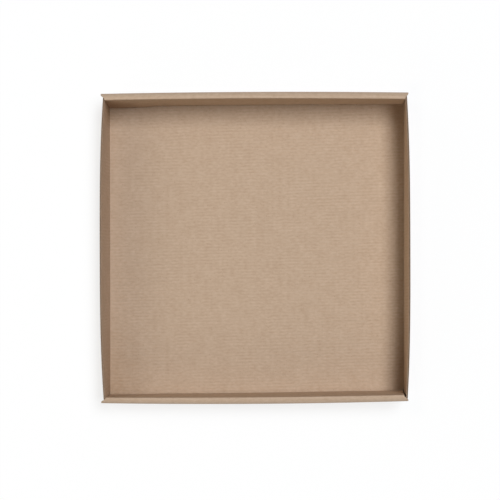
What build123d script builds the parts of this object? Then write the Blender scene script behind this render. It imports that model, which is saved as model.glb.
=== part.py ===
import os

from build123d import *

# Catering tray: one die-cut blank of fine-flute corrugated board, folded up and locked without glue.
# X runs along the flutes, from end wall to end wall. Y runs from rolled wall to rolled wall. Z is up.
# The origin is the middle of the underside, on the surface that the tray stands on.

# Overall sizes
tray_length = 316.0  # outside, between the feet of the two end walls
tray_width = 316.0  # outside, between the feet of the two rolled walls
tray_height = 50.0  # to the top of the rolled rims

# Board
board = 1.6  # thickness
fold_radius = 1.2  # round the outside of a scored fold
edge_gap = 0.4  # between a cut edge and the panel that it stops at

# End walls, single boards whose tops lean in at the corners and belly out at the middle
end_lean = 2.5
end_bow = 3.4
belly_slope_share = 3.0  # slope of the belly at the corners, by its bow over half its length

# Corner tabs, folded from the end walls and trapped inside the rolled walls
tab_length = 45.0
tab_chamfer = 8.0  # cut off the free corners, so that the tab slips in
layer_gap = 0.55  # slack on each side of a tab

# Rolled walls: outer panel, flat rim and inner panel
rolled_bow = 1.3  # outward curve at the middle of the rim
rim_end_inset = 0.75  # from the outside of the end wall's foot to the tip of the rim
panel_end_gap = 0.8  # between the end of the inner panel and the end wall

# Lock tabs along the foot of the inner panel, held in slots through the floor
lock_spread = 83.0  # from the middle of the wall to the middle of a tab
lock_width = 45.0
lock_tip_gap = 0.2  # from the tip of a tab to the underside of the floor
slot_clearance = 0.5

# Levels
wall_foot = board + edge_gap
rim_under = tray_height - board
end_wall_top = rim_under - edge_gap

# Places along X
half_length = tray_length / 2
rim_half = half_length - rim_end_inset
panel_foot_half = half_length - board - panel_end_gap
panel_top_half = panel_foot_half - end_lean
tab_reach = half_length - end_lean - tab_length

# Places along Y, from the outside of a rolled wall inward
half_width = tray_width / 2
tab_outer = half_width - board - layer_gap
tab_inner = tab_outer - board


def rolled_bow_at(x):
    """Gives the outward curve of a rolled wall at a place along its rim."""
    return rolled_bow * (1 - (x / rim_half) ** 2)


panel_outer = tab_inner - layer_gap - rolled_bow_at(tab_reach)
panel_inner = panel_outer - board
lock_line = (panel_inner + panel_outer) / 2 + rolled_bow_at(lock_spread)


def bowed_strip(level, outer, inner):
    """Gives the plan, at a level, of a strip along the +Y rolled wall, bowed outward between its ends."""
    with BuildSketch(Plane.XY.offset(level)) as plan:
        with BuildLine():
            outside = ThreePointArc((-rim_half, outer), (0, outer + rolled_bow), (rim_half, outer))
            inside = ThreePointArc((-rim_half, inner), (0, inner + rolled_bow), (rim_half, inner))
            Line(outside @ 0, inside @ 0)
            Line(outside @ 1, inside @ 1)
        make_face()
    return plan.sketch


def belly(start, bow):
    """Draws one face of an end wall in plan, from a corner fold to the other, fullest at the middle."""
    outward = (belly_slope_share * bow, -start.Y)
    inward = (-belly_slope_share * bow, -start.Y)
    Spline(start, (start.X + bow, 0), (start.X, -start.Y), tangents=(outward, inward))


def end_wall_plan(level, corner, bow):
    """Gives the plan, at a level, of the +X end wall and its corner tabs, from the X of its corner folds."""
    with BuildSketch(Plane.XY.offset(level)) as plan:
        with BuildLine():
            tab = Polyline(
                (corner - fold_radius, tab_outer),
                (corner - tab_length, tab_outer),
                (corner - tab_length, tab_inner),
                (corner - board, tab_inner),
            )
            fold = TangentArc(tab @ 0, (corner, tab_outer - fold_radius), tangent=(1, 0))
            mirror(about=Plane.XZ)
            belly(fold @ 1, bow)
            belly(tab @ 1, bow)
        make_face()
    return plan.sketch


# Floor, turned up at its four base folds to the feet of the walls
with BuildPart() as floor:
    with BuildSketch():
        Rectangle(tray_length, tray_width)
    extrude(amount=wall_foot)
    fillet(floor.edges().group_by(Axis.Z)[0], radius=fold_radius)
    with BuildSketch(Plane.XY.offset(board)):
        Rectangle(tray_length - 2 * board, tray_width - 2 * board)
    extrude(amount=wall_foot, mode=Mode.SUBTRACT)

    # Notches that part the folds at the corners
    with BuildSketch():
        with GridLocations(tray_length, tray_width, 2, 2):
            Rectangle(2 * (board + layer_gap), 2 * (board + layer_gap))
    extrude(amount=tray_height, mode=Mode.SUBTRACT)

    # Slots for the lock tabs
    with BuildSketch():
        with GridLocations(2 * lock_spread, 2 * lock_line, 2, 2):
            Rectangle(lock_width + 2 * slot_clearance, board + 2 * slot_clearance)
    extrude(amount=tray_height, mode=Mode.SUBTRACT)

# Inner panel of a rolled wall, tapered to fit between the leaning end walls, with its lock tabs
with BuildPart() as inner_panel:
    extrude(bowed_strip(lock_tip_gap, panel_outer, panel_inner), amount=rim_under - lock_tip_gap)
    with BuildSketch(Plane.XZ):
        with BuildLine():
            Polyline(
                (-panel_foot_half, wall_foot),
                (panel_foot_half, wall_foot),
                (panel_top_half, rim_under),
                (-panel_top_half, rim_under),
                close=True,
            )
        make_face()
        with Locations((-lock_spread, wall_foot), (lock_spread, wall_foot)):
            Rectangle(lock_width, wall_foot, align=(Align.CENTER, Align.MAX))
    extrude(amount=tray_width, both=True, mode=Mode.INTERSECT)

# Flat rim of a rolled wall, with mitred ends, rounded at the folds along both its long edges
with BuildPart() as rim:
    extrude(bowed_strip(rim_under, half_width, panel_inner), amount=board)
    with BuildSketch():
        with BuildLine():
            Polyline(
                (-panel_top_half, panel_inner),
                (panel_top_half, panel_inner),
                (rim_half, half_width),
                (rim_half, half_width + rolled_bow),
                (-rim_half, half_width + rolled_bow),
                (-rim_half, half_width),
                close=True,
            )
        make_face()
    extrude(amount=tray_height, mode=Mode.INTERSECT)
    fillet(rim.faces().sort_by(Axis.Z)[-1].edges().filter_by(GeomType.CIRCLE), radius=fold_radius)

# Rolled wall on the +Y side: outer panel, straight along the base fold and bowed along the rim
with BuildPart() as rolled_wall:
    with BuildSketch(Plane.XY.offset(wall_foot)) as foot:
        with Locations((0, half_width)):
            Rectangle(2 * rim_half, board, align=(Align.CENTER, Align.MAX))
    loft([foot.sketch, bowed_strip(rim_under, half_width, half_width - board)], ruled=True)
    add(rim.part)
    add(inner_panel.part)

# End wall on the +X side, with its corner tabs
with BuildPart() as end_wall:
    foot = end_wall_plan(wall_foot, half_length, 0)
    top = end_wall_plan(end_wall_top, half_length - end_lean, end_bow)
    loft([foot, top], ruled=True)

    # Free corners of the tabs
    with BuildSketch(Plane.XZ):
        with Locations((half_length - tab_length, wall_foot), (tab_reach, end_wall_top)):
            Rectangle(2**0.5 * tab_chamfer, 2**0.5 * tab_chamfer, rotation=45)
    extrude(amount=tray_width, both=True, mode=Mode.SUBTRACT)

# The whole folded blank
with BuildPart() as tray:
    add(floor.part)
    add(rolled_wall.part)
    mirror(rolled_wall.part, about=Plane.XZ)
    add(end_wall.part)
    mirror(end_wall.part, about=Plane.YZ)
tray.part.label = "tray"

os.makedirs("parts", exist_ok=True)
export_step(tray.part, "parts/tray.step")
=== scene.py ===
import math

import bpy
import numpy as np
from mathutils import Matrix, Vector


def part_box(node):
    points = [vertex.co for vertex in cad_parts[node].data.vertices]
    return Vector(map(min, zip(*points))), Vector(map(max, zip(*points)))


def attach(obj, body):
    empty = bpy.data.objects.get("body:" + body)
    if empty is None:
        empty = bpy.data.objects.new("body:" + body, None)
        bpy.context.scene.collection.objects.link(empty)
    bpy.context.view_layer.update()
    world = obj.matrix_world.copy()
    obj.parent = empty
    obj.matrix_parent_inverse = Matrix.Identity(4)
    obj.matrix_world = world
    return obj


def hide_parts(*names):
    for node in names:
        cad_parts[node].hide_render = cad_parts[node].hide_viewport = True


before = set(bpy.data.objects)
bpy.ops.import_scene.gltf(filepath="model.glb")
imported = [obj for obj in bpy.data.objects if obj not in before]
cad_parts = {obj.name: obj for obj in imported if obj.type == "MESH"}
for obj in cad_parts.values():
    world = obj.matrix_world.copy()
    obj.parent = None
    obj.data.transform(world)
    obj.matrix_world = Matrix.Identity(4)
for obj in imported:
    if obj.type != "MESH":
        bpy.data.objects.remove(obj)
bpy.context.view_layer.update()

# Floor panel
# The middle of one die-cut blank of fine corrugated board: two brown kraft liners glued to a wave of
# fluting. The liners sink between the glue lines, which leaves a faint washboard along the whole floor.
# Slots beside two of its edges hold the lock tabs of the rolled walls.

mm = 0.001
board = 1.6 * mm
flute_pitch = 3.4 * mm
flute_skew = math.radians(1.3)  # the blank was cut a little out of line with its flutes
flute_samples = 8  # grid rows to one flute
washboard_depth = 0.026 * mm
swell_share = 0.3  # how much of its depth the washboard gains and loses along the sheet
swell_run = 41 * mm  # along the flutes, to one radian of that swell
sway = 1.3  # radians by which the swell sways across the flutes
sway_run = 37 * mm  # across the flutes, to one radian of the sway
score_width = 3.0 * mm  # the washboard is crushed flat this near to a fold
fold_outside = 1.2 * mm  # radius round the outside of a fold
fold_inside = 0.35 * mm  # radius in its inner corner

# The base size comes from the solid's box, whose end walls belly and lean and whose rolled walls bow.
end_bow, end_lean, rolled_bow = 3.4 * mm, 2.5 * mm, 1.3 * mm
tray_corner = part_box("tray")[1]
half_length = tray_corner.x - end_bow + end_lean
half_width = tray_corner.y - rolled_bow
layer_gap = 0.55 * mm  # on each side of a corner tab inside a rolled wall
corner_notch = board + layer_gap
rolled_thickness = 6.56 * mm  # of a rolled wall, from its outside to its inside
panel_inner = half_width - rolled_thickness

# How far in from the tray's length the end walls' outsides stand at the floor, by end and side of the corner.
foot_inset = {(-1, 1): 1.2 * mm, (-1, -1): 0.8 * mm, (1, 1): -1.15 * mm, (1, -1): 0.8 * mm}
inset_fade = 25 * mm  # length of floor that takes up the inset, past the slots

# Outward shift of four lines of each rolled wall, as bow at the middle, swing from end to end and shift of
# the whole line: the base fold, the rim's outer edge, its inner edge, and the foot of the inner panel.
rolled_lines = {
    1: {"base": (0.0, 0.0, 0.0), "rim": (1.35 * mm, 0.45 * mm, -0.15 * mm),
        "edge": (1.34 * mm, 0.57 * mm, -0.44 * mm), "foot": (0.6 * mm, -0.3 * mm, 0.05 * mm)},
    -1: {"base": (0.0, 0.75 * mm, 0.75 * mm), "rim": (1.8 * mm, 0.83 * mm, -0.45 * mm),
         "edge": (1.1 * mm, 1.1 * mm, 0.0), "foot": (0.66 * mm, 1.73 * mm, 0.79 * mm)},
}

lock_spread = 83.0 * mm  # from the middle of a rolled wall to the middle of a lock tab
lock_width = 45.0 * mm
slot_clearance = 0.5 * mm
slot_seat = 0.05 * mm  # between a lock tab and the inner edge of its slot
slot_follow = 12 * mm  # the floor's rows turn to the line of the slots over this width


def line_shift(side, line, x):
    """Outward shift of a line of a rolled wall: a parabola over its length plus a slope and a constant."""
    bow, swing, shift = rolled_lines[side][line]
    along = x / half_length
    return bow * (1 - along**2) - swing * along + shift


def foot_line(end, y):
    """Distance of an end wall's outside from the middle at the floor: straight between its two corners."""
    return half_length - np.interp(y, (-half_width, half_width), (foot_inset[end, -1], foot_inset[end, 1]))


def spaced(low, high, step, marks=()):
    """Evenly spaced places from low to high, with the marks put in and places close to a mark left out."""
    places = np.linspace(low, high, int(round((high - low) / step)) + 1)
    marks = np.unique(np.round(marks, 9))
    inner = places[1:-1]
    far = (np.abs(inner[:, None] - marks) > step / 4).all(1)
    return np.sort(np.concatenate([places[[0, -1]], inner[far], marks]))


def smooth(share):
    """Eased step: 0 below 0, 1 above 1, and 3 t squared minus 2 t cubed between."""
    t = np.clip(share, 0, 1)
    return t * t * (3 - 2 * t)


def flute_cycles(x, y):
    """Number of flutes from the middle of the flat blank: distance across the flutes over their pitch."""
    return (y * math.cos(flute_skew) - x * math.sin(flute_skew)) / flute_pitch


def washboard(x, y):
    """Height of the liner over the flutes: a sine of the flute number, with a slow swell along the sheet."""
    swell = 1 + swell_share * np.sin(x / swell_run + sway * np.sin(y / sway_run))
    return washboard_depth * swell * np.sin(2 * np.pi * flute_cycles(x, y))


def grid_points(x, y, z):
    """Grid of points from three arrays of coordinates, spread to one shape."""
    return np.stack(np.broadcast_arrays(x, y, z), -1)


def on_blank(x, y):
    """Places on the flat blank: X, Y and the number of flutes from its middle."""
    return grid_points(x, y, flute_cycles(x, y))


def grid_quads(index):
    """The four corners of every cell of a grid of point numbers, in order round the cell."""
    return np.stack([index[:-1, :-1], index[:-1, 1:], index[1:, 1:], index[1:, :-1]], -1).reshape(-1, 4)


def cut_edge(outside, inside, inward, cycles):
    """Cut across the flutes: a channel between the edges of the two liners, with the fluting standing in it.

    Each point lies at a share of the way from the outside face to the inside face and at a depth into the
    board. The profile steps down behind each liner and up at the fluting, whose place is a sine of the
    number of flutes.
    """
    liner_share, fluting_share, slack_share = 0.16, 0.14, 0.02
    deep, shallow = 1.5 * mm, 0.1 * mm  # from the cut to the channel's floor and to the fluting
    swing = 0.5 - liner_share - fluting_share / 2 - slack_share
    near = 0.5 + swing * np.sin(2 * np.pi * cycles) - fluting_share / 2
    far, zero = near + fluting_share, np.zeros_like(near)
    low, high = zero + liner_share, zero + 1 - liner_share
    shares = np.stack([zero, low, low, near, near, far, far, high, high, zero + 1], -1)
    depths = np.array([0, 0, deep, deep, shallow, shallow, deep, deep, 0, 0])
    points = outside[:, None] + shares[..., None] * (inside - outside)[:, None]
    return points + depths[None, :, None] * inward[:, None]


def board_sheet(outside, inside, blank, wear_and_painted_light, kept=None, flute_ends=()):
    """A sheet of board between two grids of points, its outside and its inside face.

    Row direction cross column direction points out of the outside face. Cells that aren't kept are holes.
    Where a kept cell meets a hole or the border, a strip closes the sheet from face to face. At the flute
    ends, column 0 or -1, the cut edge closes it instead, and a face with its profile fills each corner.
    """
    rows, columns = outside.shape[:2]
    kept = np.ones((rows - 1, columns - 1), bool) if kept is None else kept
    outer = np.arange(rows * columns).reshape(rows, columns)
    inner = outer + rows * columns
    skins = [grid_quads(outer)[kept.ravel()][:, ::-1], grid_quads(inner)[kept.ravel()]]
    next_column = {0: 1, -1: -2}
    ringed = np.pad(kept, 1)
    for column in flute_ends:
        ringed[:, column] = ringed[:, next_column[column]]
    left, right = ringed[1:-1, :-1], ringed[1:-1, 1:]
    strip = np.stack([outer[:-1], inner[:-1], inner[1:], outer[1:]], -1)
    edges = [strip[right & ~left], strip[left & ~right][:, ::-1]]
    before, after = ringed[:-1, 1:-1], ringed[1:, 1:-1]
    first, last = after & ~before, before & ~after
    for column in flute_ends:
        first[0, column] = last[-1, column] = False
    strip = np.stack([outer[:, :-1], outer[:, 1:], inner[:, 1:], inner[:, :-1]], -1)
    edges += [strip[first], strip[last][:, ::-1]]
    vertices = [outside.reshape(-1, 3), inside.reshape(-1, 3)]
    blanks = [blank.reshape(-1, 3)] * 2
    wear_and_painted_light_parts = [np.broadcast_to(wear_and_painted_light, (2, rows, columns)).reshape(-1)]
    corners = []
    for column in flute_ends:
        neighbour = next_column[column]
        inward = outside[:, neighbour] - outside[:, column]
        inward = inward / np.linalg.norm(inward, axis=-1, keepdims=True)
        profile = cut_edge(outside[:, column], inside[:, column], inward, blank[:, column, 2])
        across = profile.shape[1]
        edge = sum(map(len, vertices)) + np.arange(rows * across).reshape(rows, across)
        edges.append(grid_quads(edge) if column == 0 else grid_quads(edge)[:, ::-1])
        for row in (0, -1):
            corner = [outer[row, neighbour], *edge[row], inner[row, neighbour]]
            corners.append(corner[::-1] if (column == 0) != (row == -1) else corner)
        vertices.append(profile.reshape(-1, 3))
        blanks.append(np.repeat(blank[:, column], across, 0))
        wear_and_painted_light_parts.append(np.zeros(rows * across))
    sheet = {"vertices": vertices, "blank": blanks, "wear_and_painted_light": wear_and_painted_light_parts, "skins": skins, "edges": edges}
    sheet = {part: np.concatenate(arrays) for part, arrays in sheet.items()}
    sheet["corners"] = np.array(corners, int)
    return sheet


def board_piece(name, sheets):
    """One mesh object of several sheets, with its place on the flat blank and its wear and painted light as
    attributes.
    """
    starts = np.cumsum([0] + [len(sheet["vertices"]) for sheet in sheets])
    faces, cut = [], []
    for part in ("skins", "edges", "corners"):
        for sheet, start in zip(sheets, starts):
            faces += (sheet[part] + start).tolist()
            cut += [part != "skins"] * len(sheet[part])
    values = ("vertices", "blank", "wear_and_painted_light")
    joined = {part: np.concatenate([sheet[part] for sheet in sheets]) for part in values}
    mesh = bpy.data.meshes.new(name)
    mesh.from_pydata(joined["vertices"].tolist(), [], faces)
    blank = mesh.attributes.new("blank", "FLOAT_VECTOR", "POINT")
    blank.data.foreach_set("vector", joined["blank"].astype(np.float32).ravel())
    wear_and_painted_light = mesh.attributes.new("wear_and_painted_light", "FLOAT", "POINT")
    wear_and_painted_light.data.foreach_set("value", joined["wear_and_painted_light"].astype(np.float32))
    mesh.materials.append(kraft_liner)
    mesh.materials.append(raw_board)
    mesh.polygons.foreach_set("material_index", np.array(cut, np.int32))
    mesh.shade_smooth()
    mesh.set_sharp_from_angle(angle=math.radians(30))
    piece = bpy.data.objects.new(name, mesh)
    bpy.context.scene.collection.objects.link(piece)
    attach(piece, "root")
    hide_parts("tray")


def linear(colour):
    """Linear red, green, blue and alpha of an sRGB hex colour, by the sRGB curve."""
    values = [int(colour[i:i + 2], 16) / 255 for i in (1, 3, 5)]
    return tuple(v / 12.92 if v <= 0.04045 else ((v + 0.055) / 1.055) ** 2.4 for v in values) + (1.0,)


def empty_tree(owner):
    """Node tree of a material or a world, with its ready-made nodes taken out."""
    owner.use_nodes = True
    owner.node_tree.nodes.clear()
    return owner.node_tree


def add_node(tree, kind, inputs=None, **settings):
    """Adds a node with its settings, and sets or links its inputs by name or number."""
    node = tree.nodes.new(kind)
    for name, value in settings.items():
        setattr(node, name, value)
    for socket, value in (inputs or {}).items():
        if isinstance(value, bpy.types.NodeSocket):
            tree.links.new(value, node.inputs[socket])
        else:
            node.inputs[socket].default_value = value
    return node


# Unbleached kraft liner, machine-made paper: matte, with fibres and streaks along the machine's run, which
# lies across the flutes, a cloudy and mottled formation, a few dark shives and flutes that show in patches.
# Wear above 0 turns the paper paler: rubbing on folds, and a painted highlight along the rims' inner edges.
# Below 0 it turns greyer and darker: along the rims' outer sides, and as painted shade in the base folds'
# inner corners. Two corners, front left and back left, get painted shade. The mottle is as coarse as the
# photo shows it.
kraft_liner = bpy.data.materials.new("kraft_liner")
tree = empty_tree(kraft_liner)
blank = add_node(tree, "ShaderNodeAttribute", attribute_name="blank").outputs["Vector"]
wear_and_painted_light = add_node(tree, "ShaderNodeAttribute", attribute_name="wear_and_painted_light").outputs["Fac"]
cycles = add_node(tree, "ShaderNodeSeparateXYZ", {0: blank}).outputs["Z"]

# Size of each pattern along X and along Y, its octaves of detail and its distortion.
paper_patterns = {
    "clouds": (14 * mm, 14 * mm, 4.0, 0.0),
    "streaks": (3 * mm, 180 * mm, 2.0, 0.0),
    "fibres": (0.35 * mm, 2.6 * mm, 3.0, 0.6),
    "mottle": (4.6 * mm, 2.0 * mm, 2.0, 0.0),
    "shives": (1.3 * mm, 1.3 * mm, 1.0, 0.0),
    "patches": (34 * mm, 34 * mm, 3.0, 0.0),
}
pattern = {}
for name, (length, width, detail, distortion) in paper_patterns.items():
    sized = add_node(tree, "ShaderNodeMapping", {"Vector": blank, "Scale": (1 / length, 1 / width, 1)})
    noise = add_node(tree, "ShaderNodeTexNoise", {"Vector": sized.outputs[0], "Scale": 1.0, "Detail": detail,
                                                  "Distortion": distortion}, noise_dimensions="2D")
    pattern[name] = noise.outputs["Fac"]

# Tone is the place on a ramp from dark to pale paper: the sum of the patterns by their shares and of the
# flutes where they show, less the painted shade in two corners.
tone = 0.135
for name, share in (("clouds", 0.22), ("streaks", 0.08), ("fibres", 0.10), ("mottle", 0.43)):
    tone = add_node(tree, "ShaderNodeMath", {0: pattern[name], 1: share, 2: tone},
                    operation="MULTIPLY_ADD").outputs[0]
flute_share = 0.065
flute_angle = add_node(tree, "ShaderNodeMath", {0: cycles, 1: 2 * math.pi}, operation="MULTIPLY").outputs[0]
flute_tone = add_node(tree, "ShaderNodeMath", {0: flute_angle}, operation="SINE").outputs[0]
flute_patches = add_node(tree, "ShaderNodeMapRange", {"Value": pattern["patches"], "From Min": 0.35,
                                                      "From Max": 0.65, "To Max": flute_share}).outputs[0]
tone = add_node(tree, "ShaderNodeMath", {0: flute_tone, 1: flute_patches, 2: tone},
                operation="MULTIPLY_ADD").outputs[0]

# Middle, length, width and depth of tone of the painted shade in two corners, front left and back left.
painted_corner_shade = (((-half_length, -half_width), 52 * mm, 95 * mm, 0.29),
          ((-half_length - 12 * mm, half_width - 10 * mm), 36 * mm, 22 * mm, 0.55))
for (x, y), length, width, depth in painted_corner_shade:
    corner_shade_map = add_node(tree, "ShaderNodeMapping", {"Vector": blank, "Scale": (1 / length, 1 / width, 0),
                                                    "Location": (-x / length, -y / width, 0)})
    corner_shade = add_node(tree, "ShaderNodeTexGradient", {"Vector": corner_shade_map.outputs[0]}, gradient_type="SPHERICAL")
    tone = add_node(tree, "ShaderNodeMath", {0: corner_shade.outputs["Fac"], 1: -depth, 2: tone},
                    operation="MULTIPLY_ADD").outputs[0]
paper = add_node(tree, "ShaderNodeValToRGB", {0: tone})
dark_paper, pale_paper = paper.color_ramp.elements
dark_paper.position, pale_paper.position = 0.0, 0.8
dark_paper.color, pale_paper.color = linear("#A3876C"), linear("#C7AE97")
paper = paper.outputs[0]

# Over the paper go the pale and the grey of wear and painted light, then shives, which are the peaks of their
# pattern.
shive = add_node(tree, "ShaderNodeMapRange", {"Value": pattern["shives"], "From Min": 0.72, "From Max": 0.82})
shive = shive.outputs[0]
for amount, share, colour in ((wear_and_painted_light, 0.35, "#D0BAA5"), (wear_and_painted_light, -0.42, "#99897B"), (shive, 0.45, "#8A6A4E")):
    factor = add_node(tree, "ShaderNodeMath", {0: amount, 1: share}, operation="MULTIPLY", use_clamp=True)
    paper = add_node(tree, "ShaderNodeMix", {"Factor": factor.outputs[0], "A": paper, "B": linear(colour)},
                     data_type="RGBA").outputs["Result"]
nap = add_node(tree, "ShaderNodeBump", {"Height": pattern["fibres"], "Strength": 0.25, "Distance": 0.06 * mm})
liner_shader = add_node(tree, "ShaderNodeBsdfPrincipled", {
    "Base Color": paper, "Roughness": 0.88, "IOR": 1.45, "Specular IOR Level": 0.05,
    "Normal": nap.outputs[0]})
add_node(tree, "ShaderNodeOutputMaterial", {"Surface": liner_shader.outputs[0]})

# Cut board, knife-cut recycled fluting and liner ends: greyer than the liner and fuzzy, with no gloss.
raw_board = bpy.data.materials.new("raw_board")
tree = empty_tree(raw_board)
fuzz_size = 0.5 * mm
place = add_node(tree, "ShaderNodeTexCoord").outputs["Object"]
fuzz = add_node(tree, "ShaderNodeTexNoise", {"Vector": place, "Scale": 1 / fuzz_size, "Detail": 3.0})
fuzz = fuzz.outputs["Fac"]
pulp = add_node(tree, "ShaderNodeValToRGB", {0: fuzz})
dark_pulp, pale_pulp = pulp.color_ramp.elements
dark_pulp.position, pale_pulp.position = 0.3, 0.7
dark_pulp.color, pale_pulp.color = linear("#957C67"), linear("#BCA58F")
torn = add_node(tree, "ShaderNodeBump", {"Height": fuzz, "Strength": 0.4, "Distance": 0.1 * mm}).outputs[0]
raw_shader = add_node(tree, "ShaderNodeBsdfPrincipled", {"Base Color": pulp.outputs[0], "Roughness": 0.95,
                                                         "Specular IOR Level": 0.1, "Normal": torn})
add_node(tree, "ShaderNodeOutputMaterial", {"Surface": raw_shader.outputs[0]})

# Rows lie across the flutes and columns along them; slots and corner notches are cells left out. Near the
# slots the rows follow the feet of the inner panels, whose lock tabs lean on the slots' inner edges.
row_step, column_step = flute_pitch / flute_samples, 9 * mm
slot_inner = panel_inner - slot_seat
slot_outer = slot_inner + board + 2 * slot_clearance
slot_half_length = lock_width / 2 + slot_clearance
notch_x, notch_y = half_length - corner_notch, half_width - corner_notch
row_marks = [side * place for side in (1, -1) for place in (slot_inner, slot_outer, notch_y)]
column_marks = [end * lock_spread + turn * slot_half_length for end in (1, -1) for turn in (1, -1)]
column_marks += [notch_x, -notch_x]
floor_y = spaced(fold_outside - half_width, half_width - fold_outside, row_step, row_marks)
floor_x = spaced(fold_outside - half_length, half_length - fold_outside, column_step, column_marks)
cell_y, cell_x = (np.abs(places[1:] + places[:-1]) / 2 for places in (floor_y, floor_x))
cell_y, cell_x = np.meshgrid(cell_y, cell_x, indexing="ij")
in_slot = (cell_y > slot_inner) & (cell_y < slot_outer) & (np.abs(cell_x - lock_spread) < slot_half_length)
floor_kept = ((cell_x < notch_x) | (cell_y < notch_y)) & ~in_slot


def inside_fold(place, half):
    """Place on the floor's top over one on its underside: drawn in between the notch and the base fold."""
    notch, under, top = half - corner_notch, half - fold_outside, half - board - fold_inside
    return np.sign(place) * np.interp(np.abs(place), (0, notch, under), (0, notch, top))


y, x = np.meshgrid(floor_y, floor_x, indexing="ij")
top_x, top_y = inside_fold(x, half_length), inside_fold(y, half_width)
crease_y = half_width - board - fold_inside
near = smooth((np.abs(y) - slot_inner + slot_follow) / slot_follow)
at_edge = 1 - smooth((crease_y - np.abs(top_y)) / (crease_y - slot_outer))
base, foot = (np.where(y > 0, line_shift(1, line, x), -line_shift(-1, line, x)) for line in ("base", "foot"))
shift = near * (1 - at_edge) * foot + at_edge * base
flat = smooth((half_length - np.abs(x)) / score_width) * smooth((half_width - np.abs(y)) / score_width)
y, top_y = y + shift, top_y + shift
wave = washboard(x, y) * flat
inset = np.where(x > 0, foot_line(1, y) - half_length, half_length - foot_line(-1, y))
inset = inset * smooth((np.abs(x) - lock_spread - lock_width) / inset_fade)
floor_under = grid_points(x + inset, y, (washboard_depth * (1 + swell_share) - wave) * flat)
floor_top = grid_points(top_x + inset, top_y, board - wave)
board_piece("floor_panel", [board_sheet(floor_under, floor_top, on_blank(x, y), 0, floor_kept)])

# End walls
# Single boards scored and folded up from the floor, each with a tab folded in at both corners and trapped
# in the rolled walls. Held only at the corners, they lean in there and belly out between.

tray_height = tray_corner.z
edge_gap = 0.4 * mm  # between a cut edge and the panel that it stops at
wall_foot = board + edge_gap
end_wall_top = tray_height - board - edge_gap
tab_length = 45.0 * mm
tab_outer = half_width - board - layer_gap
tab_inner = tab_outer - board
belly = {-1: 3.7 * mm, 1: 3.1 * mm}  # outward, at the middle of the top
crease_wear_and_shade = np.array([1, -0.6])[:, None, None]  # of the base fold: rubbed pale outside, and painted shade darkening its inner corner
worn_width = 2 * mm  # beside a corner fold

# As foot_inset, at the top; and how far each corner is pulled in along Y, at the foot and at the top.
top_inset = {(-1, 1): 2.8 * mm, (-1, -1): 2.6 * mm, (1, 1): 2.0 * mm, (1, -1): 2.8 * mm}
corner_pull = {(-1, 1): (0.0, 0.0), (-1, -1): (-1.75 * mm, -0.2 * mm), (1, 1): (0.0, 0.0),
               (1, -1): (0.0, 1.1 * mm)}


def turned(points, side):
    """The points turned half round the tray's middle for side -1, so that one wall's formula serves both."""
    return points * np.array([side, side, 1])


def base_fold(end):
    """Strip from the floor's edge round the base fold: a quarter circle on each face, then straight up."""
    angle = np.concatenate([np.linspace(0, np.pi / 2, 7), [np.pi / 2]])
    at_top = np.arange(len(angle)) == len(angle) - 1
    touch = 0.01 * mm
    y = floor_y[np.abs(floor_y) <= notch_y + touch][:, None]
    faces = []
    for radius, inset in ((fold_outside, 0), (fold_inside, board)):
        x = foot_line(end, end * y) - inset - radius + radius * np.sin(angle)
        z = np.where(at_top, wall_foot, inset + radius - radius * np.cos(angle))
        faces.append(turned(grid_points(x, y, z), end))
    blank = on_blank(end * (half_length + fold_outside * (angle - 1) + at_top * wall_foot), end * y)
    return board_sheet(*faces, blank, crease_wear_and_shade)


def end_wall(end):
    """C-shaped strip round an end wall and its tabs: a plan path swept up from the foot to the top.

    The plan is tab, quarter circle, wall, quarter circle, tab. Up the wall, the corners go from their places
    at the foot to those at the top, and the wall moves out by its belly times one minus the cube of the
    share of its half length.
    """
    arc = np.linspace(0, np.pi / 2, 6)
    tab_share = np.linspace(1, 0, 15)[:-1]
    z = np.linspace(wall_foot, end_wall_top, 11)
    climb = (z - wall_foot) / (end_wall_top - wall_foot)
    wall_y = spaced(fold_outside - tab_outer, tab_outer - fold_outside, row_step)[1:-1]
    wall_share = wall_y / (tab_outer - fold_outside)
    tops = half_length - np.array([top_inset[end, -end], top_inset[end, end]])
    foot_pulls, top_pulls = np.transpose([corner_pull[end, -end], corner_pull[end, end]]) * [1, -1]
    faces = []
    for radius, inset, half in ((fold_outside, 0, tab_outer), (fold_inside, board, tab_inner)):
        tab_x = -inset - radius - tab_share * (tab_length - inset - radius)
        tab_y = np.full(len(tab_x), half)
        arc_x = -inset - radius + radius * np.sin(arc)
        arc_y = half - radius + radius * np.cos(arc)
        x = np.concatenate([tab_x, arc_x, np.full(len(wall_y), -inset), arc_x[::-1], tab_x[::-1]])[:, None]
        y = np.concatenate([-tab_y, -arc_y, wall_share * (half - radius), arc_y[::-1], tab_y])[:, None]
        out = 1 - np.abs(y / (half - radius)).clip(0, 1) ** 3
        foot, top = foot_line(end, end * y), np.interp(y, (-half, half), tops)
        foot_pull, top_pull = (np.interp(y, (-half, half), pulls) for pulls in (foot_pulls, top_pulls))
        along = x + foot + climb * (belly[end] * out + top - foot)
        across = y + foot_pull + climb * (top_pull - foot_pull)
        faces.append(grid_points(along, across, z))
    outside, inside = faces

    # The blank is laid out from the inner face's plan, which the loop leaves in x and y.
    is_wall = x >= x.max() - 1e-9
    blank = on_blank(end * (half_length + z), end * (y + np.sign(y) * np.where(is_wall, 0, -x - board)))
    from_corner = tab_outer - np.abs(outside[..., 1])
    flat = smooth(from_corner / score_width) * is_wall * smooth((z - wall_foot) / score_width)
    wear_and_painted_light = (1 - smooth(from_corner / worn_width)) * is_wall
    wave = washboard(blank[..., 0], blank[..., 1]) * flat
    for face in faces:
        face[..., 0] -= wave
    return board_sheet(turned(outside, end), turned(inside, end), blank, wear_and_painted_light, flute_ends=(-1,))


for end, name in ((-1, "end_wall_left"), (1, "end_wall_right")):
    board_piece(name, [base_fold(end), end_wall(end)])

# Rolled walls
# Double walls: the outer panel folds up from the floor, a narrow flat rim folds over the corner tabs, and
# the inner panel folds down to the floor, where two lock tabs hold it in slots. The rim's ends are mitred.

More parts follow.
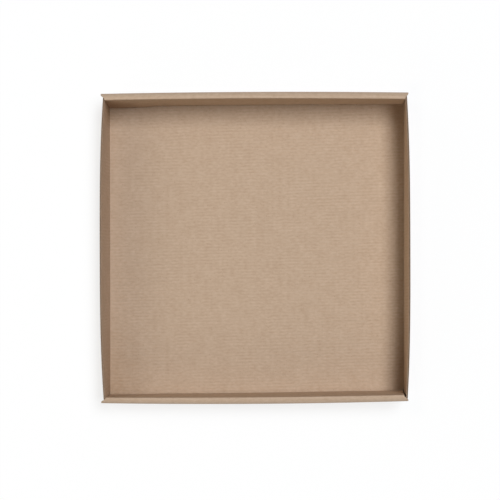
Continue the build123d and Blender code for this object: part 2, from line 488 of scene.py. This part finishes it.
rim_inset = {1: 0.75 * mm, -1: 1.45 * mm}  # from the tray's length to the tips of the rim
rim_slide = {1: 0.0, -1: -1.0 * mm}  # the rim stands this far along X from the foot of its wall
lock_tip_gap = 0.2 * mm
rim_grey_and_highlight = -0.9, 0.4  # greyer at the outer side of the rim's flat, painted highlight at its inner side
edge_highlight, grey_and_highlight_fade = 0.5, 0.03  # painted highlight at the rim's inner edge; share of a panel's height where the grey and the highlight fade out

# Between an inner panel's end and the end wall, at the foot and at the top.
panel_end_gap = {(-1, 1): (0.5 * mm, 0.1 * mm), (-1, -1): (0.4 * mm, 0.5 * mm), (1, 1): (2.0 * mm, 0.3 * mm),
                 (1, -1): (1.4 * mm, 2.0 * mm)}

# How far an inner panel's foot springs out beside the corner tab at -X, and where that step starts before the
# tab's free end and how long it is.
foot_step = {1: -1.4 * mm, -1: 0.42 * mm}
step_start, step_length = 8 * mm, 16 * mm


def panel_foot_shift(side, x):
    """Outward shift of the inner panel's foot: its line, with an eased step beside the corner tab at -X."""
    past = smooth((-x - half_length + tab_length + step_start) / step_length)
    return line_shift(side, "foot", x) + foot_step[side] * past


def rolled_wall(side):
    """Strip round a rolled wall: a section path carried along X, with rows from base fold to inner foot.

    The path is a quarter circle, the outer panel, a quarter circle, the flat rim, a quarter circle and the
    inner panel. Each row runs between its own two ends, and each point moves out by the shift of its line.
    """
    arc = np.linspace(0, np.pi / 2, 7)
    climb = np.linspace(0, 1, int((tray_height - wall_foot) / row_step))
    up, over, down = climb[:-1], np.linspace(0, 1, 11)[1:-1], climb[1:]

    def rows(*values):
        """One value a row, from a number or an array for each of the six runs of the path."""
        runs = zip(values, (arc, up, arc, over, arc, down))
        return np.concatenate([np.broadcast_to(value, len(run)) for value, run in runs])[:, None]

    sections = []
    for radius, inset in ((fold_outside, 0), (fold_inside, board)):
        top, inner = tray_height - inset, inset - rolled_thickness
        y = rows(-inset - radius + radius * np.sin(arc), -inset, -inset - radius + radius * np.cos(arc),
                 -inset - radius + over * (inner + inset + 2 * radius),
                 inner + radius - radius * np.sin(arc), inner)
        z = rows(inset + radius - radius * np.cos(arc), wall_foot + up * (top - radius - wall_foot),
                 top - radius + radius * np.sin(arc), top, top - radius + radius * np.cos(arc),
                 top - radius - down * (top - radius - wall_foot))
        sections.append((y, z))
    base_share, rim_share = rows(1, 1 - up, 0, 0, 0, 0), rows(0, up, 1, 1 - over, 0, 0)
    edge_share = rows(0, 0, 0, over, 1, 1 - down)
    foot_share = rows(0, 0, 0, 0, 0, down)
    mitre = rows(0, 0, 0, over, 1, 1)
    lift = rows(0, up, 1, 1, 1, 1 - down)
    ends = []
    for end in (-1, 1):
        corner = end * side, side
        foot_gap, top_gap = panel_end_gap[corner]
        rim_tip = half_length - rim_inset[side] + rim_slide[side] * side * end * lift
        foot_tip = half_length - board - foot_inset[corner] - foot_gap
        top_tip = half_length - board - top_inset[corner] - top_gap
        panel_tip = foot_tip + lift * (top_tip - foot_tip)
        ends.append(end * np.where(rim_share + mitre > 0, rim_tip + mitre * (panel_tip - rim_tip), notch_x))
    x = ends[0] + np.linspace(0, 1, 45) * (ends[1] - ends[0])
    shift = foot_share * panel_foot_shift(side, side * x)
    for line, share in (("base", base_share), ("rim", rim_share), ("edge", edge_share)):
        shift = shift + share * line_shift(side, line, side * x)
    outside, inside = (grid_points(x, half_width + y + shift, z) for y, z in sections)
    steps = np.diff(np.hstack(sections[0]), axis=0)
    path = np.concatenate([[0], np.cumsum(np.hypot(*steps.T))])[:, None]
    blank = on_blank(side * x, side * (half_width - fold_outside + path))
    folds = path[rows(1, 0, 1, 0, 1, 0) > 0]
    flat = smooth(np.abs(path - folds).min(1) / score_width)[:, None]
    wave = washboard(blank[..., 0], blank[..., 1]) * flat
    for face in (outside, inside):
        face[..., 1] -= wave * rows(0, 1, 0, 0, 0, -1)
        face[..., 2] -= wave * rows(0, 0, 0, 1, 0, 0)
    # Along the section: greyer over the top of the outer panel, the outer fold and the rim's outer side, then
    # a painted highlight over the rim's inner side, the inner fold and the top of the inner panel.
    wear_and_painted_light = rows(0, -smooth((up - 1 + grey_and_highlight_fade) / grey_and_highlight_fade), -1, np.interp(over, (0, 1), rim_grey_and_highlight),
                edge_highlight, edge_highlight * (1 - smooth(down / grey_and_highlight_fade)))
    return board_sheet(turned(outside, side), turned(inside, side), blank, wear_and_painted_light, flute_ends=(0, -1))


def lock_tab(side, end):
    """Plate below the inner panel's foot: a flat grid between two heights, following the panel's foot."""
    x = end * lock_spread + np.linspace(-lock_width / 2, lock_width / 2, 9)
    z = np.linspace(wall_foot, lock_tip_gap, 3)[:, None]
    outside = grid_points(x, panel_inner + panel_foot_shift(side, side * x), z)
    inside = outside + (0, board, 0)
    blank = on_blank(side * x, side * (half_width + rolled_thickness + 2 * tray_height - z))
    return board_sheet(turned(outside, side), turned(inside, side), blank, 0)


for side, name in ((-1, "rolled_wall_front"), (1, "rolled_wall_back")):
    board_piece(name, [rolled_wall(side)] + [lock_tab(side, end) for end in (-1, 1)])

# Stage, light and camera
# A white studio floor, one large soft lamp high on the right and towards the back, two low soft fills from
# the front left and the back left, and a camera that looks almost straight down.

stage_size = 8.0
stage_drop = 0.05 * mm  # below the board, so that no faces coincide
stage_mesh = bpy.data.meshes.new("studio_floor")
stage_corners = np.array([(-1, -1, 0), (1, -1, 0), (1, 1, 0), (-1, 1, 0)]) * stage_size / 2
stage_mesh.from_pydata((stage_corners - (0, 0, stage_drop)).tolist(), [], [(0, 1, 2, 3)])
stage = bpy.data.objects.new("studio_floor", stage_mesh)
bpy.context.scene.collection.objects.link(stage)


def seen_directly(tree):
    """Socket that is 1 for camera, glossy and transmission rays: the largest of three Light Path outputs."""
    rays = add_node(tree, "ShaderNodeLightPath").outputs
    seen = rays["Is Camera Ray"]
    for other in ("Is Glossy Ray", "Is Transmission Ray"):
        seen = add_node(tree, "ShaderNodeMath", {0: seen, 1: rays[other]}, operation="MAXIMUM").outputs[0]
    return seen


# Matte white studio paper. Seen directly, it is mostly plain white: by the smaller share beside the tray,
# where the shadow lies, by the larger one a little way off, and all of it far out. Under the tray none is.
studio_white = bpy.data.materials.new("studio_white")
tree = empty_tree(studio_white)
shadow_share, open_share = 0.73, 0.93
shadow_start, shadow_end = half_length + 11 * mm, half_length + 23 * mm
far_start, far_end = 0.4, 1.4
matte = add_node(tree, "ShaderNodeBsdfDiffuse", {"Color": linear("#FCFCFC")})
glow = add_node(tree, "ShaderNodeEmission", {"Color": linear("#FFFFFF"), "Strength": 1.0})
place = add_node(tree, "ShaderNodeSeparateXYZ", {0: add_node(tree, "ShaderNodeTexCoord").outputs["Object"]})
out_x = add_node(tree, "ShaderNodeMath", {0: place.outputs[0]}, operation="ABSOLUTE").outputs[0]
out_y = add_node(tree, "ShaderNodeMath", {0: place.outputs[1]}, operation="ABSOLUTE").outputs[0]
out = add_node(tree, "ShaderNodeMath", {0: out_x, 1: out_y}, operation="MAXIMUM").outputs[0]
in_open = add_node(tree, "ShaderNodeMath", {0: out, 1: half_length - board}, operation="GREATER_THAN")
near_share = add_node(tree, "ShaderNodeMapRange", {
    "Value": out, "From Min": shadow_start, "From Max": shadow_end,
    "To Min": shadow_share, "To Max": open_share})
far_share = add_node(tree, "ShaderNodeMapRange", {
    "Value": out, "From Min": far_start, "From Max": far_end, "To Min": shadow_share, "To Max": 1.0})
white = add_node(tree, "ShaderNodeMath", {0: near_share.outputs[0], 1: far_share.outputs[0]},
                 operation="MAXIMUM").outputs[0]
for share in (in_open.outputs[0], seen_directly(tree)):
    white = add_node(tree, "ShaderNodeMath", {0: white, 1: share}, operation="MULTIPLY").outputs[0]
paper_shader = add_node(tree, "ShaderNodeMixShader", {0: white, 1: matte.outputs[0], 2: glow.outputs[0]})
add_node(tree, "ShaderNodeOutputMaterial", {"Surface": paper_shader.outputs[0]})
stage_mesh.materials.append(studio_white)

world = bpy.data.worlds.new("studio")
bpy.context.scene.world = world
tree = empty_tree(world)
dim = add_node(tree, "ShaderNodeBackground", {"Color": linear("#FFFFFF"), "Strength": 0.01})
white = add_node(tree, "ShaderNodeBackground", {"Color": linear("#FFFFFF"), "Strength": 1.0})
sky = add_node(tree, "ShaderNodeMixShader", {0: seen_directly(tree), 1: dim.outputs[0], 2: white.outputs[0]})
add_node(tree, "ShaderNodeOutputWorld", {"Surface": sky.outputs[0]})


def lamp(name, location, turn, size, colour, watts):
    """Rectangular soft lamp, shining down its own Z before it is turned."""
    data = bpy.data.lights.new(name, "AREA")
    data.shape = "RECTANGLE"
    data.size, data.size_y = size
    data.color = linear(colour)[:3]
    data.energy = watts
    light = bpy.data.objects.new(name, data)
    bpy.context.scene.collection.objects.link(light)
    light.location = location
    light.rotation_euler = turn
    light.visible_camera = False


# The key lamp's place and size go by its height. Each fill has an azimuth, an elevation, a width and watts.
key_height, key_turn = 5.0, math.radians(13)
key_place = (0.303 * key_height + half_length, 0.20 * key_height + half_width, key_height)
lamp("key", key_place, (0, 0, key_turn), (0.40 * key_height, 0.68 * key_height), "#F6FAFF", 299)
fill_distance, fill_tall = 1.6, 0.95
fills = ("fill_front", 229, 25, 1.5, 8.2), ("fill_back", 151, 36, 0.9, 4.4)
for name, azimuth, elevation, width, watts in fills:
    azimuth, elevation = math.radians(azimuth), math.radians(elevation)
    reach = fill_distance * math.cos(elevation)
    place = (reach * math.cos(azimuth), reach * math.sin(azimuth), fill_distance * math.sin(elevation))
    lamp(name, place, (0, math.pi / 2 - elevation, azimuth), (fill_tall, width), "#FBF7EB", watts)

# The camera stands where the tray's rims and feet fall as in the photo. Its lens is worked out from a focal
# length in pixels of the picture.
picture_pixels, lens_pixels, sensor = 500, 1187, 36.0
camera_data = bpy.data.cameras.new("camera")
camera_data.sensor_width = sensor
camera_data.lens = sensor * lens_pixels / picture_pixels
camera_data.shift_x = -0.03
camera_data.shift_y = 0.012
camera = bpy.data.objects.new("camera", camera_data)
bpy.context.scene.collection.objects.link(camera)
camera.location = (37.4 * mm, -19.8 * mm, 1.26)
camera.rotation_euler = (math.radians(0.523), math.radians(1.277), math.radians(-0.237))
bpy.context.scene.camera = camera
bpy.context.scene.view_settings.view_transform = "Standard"
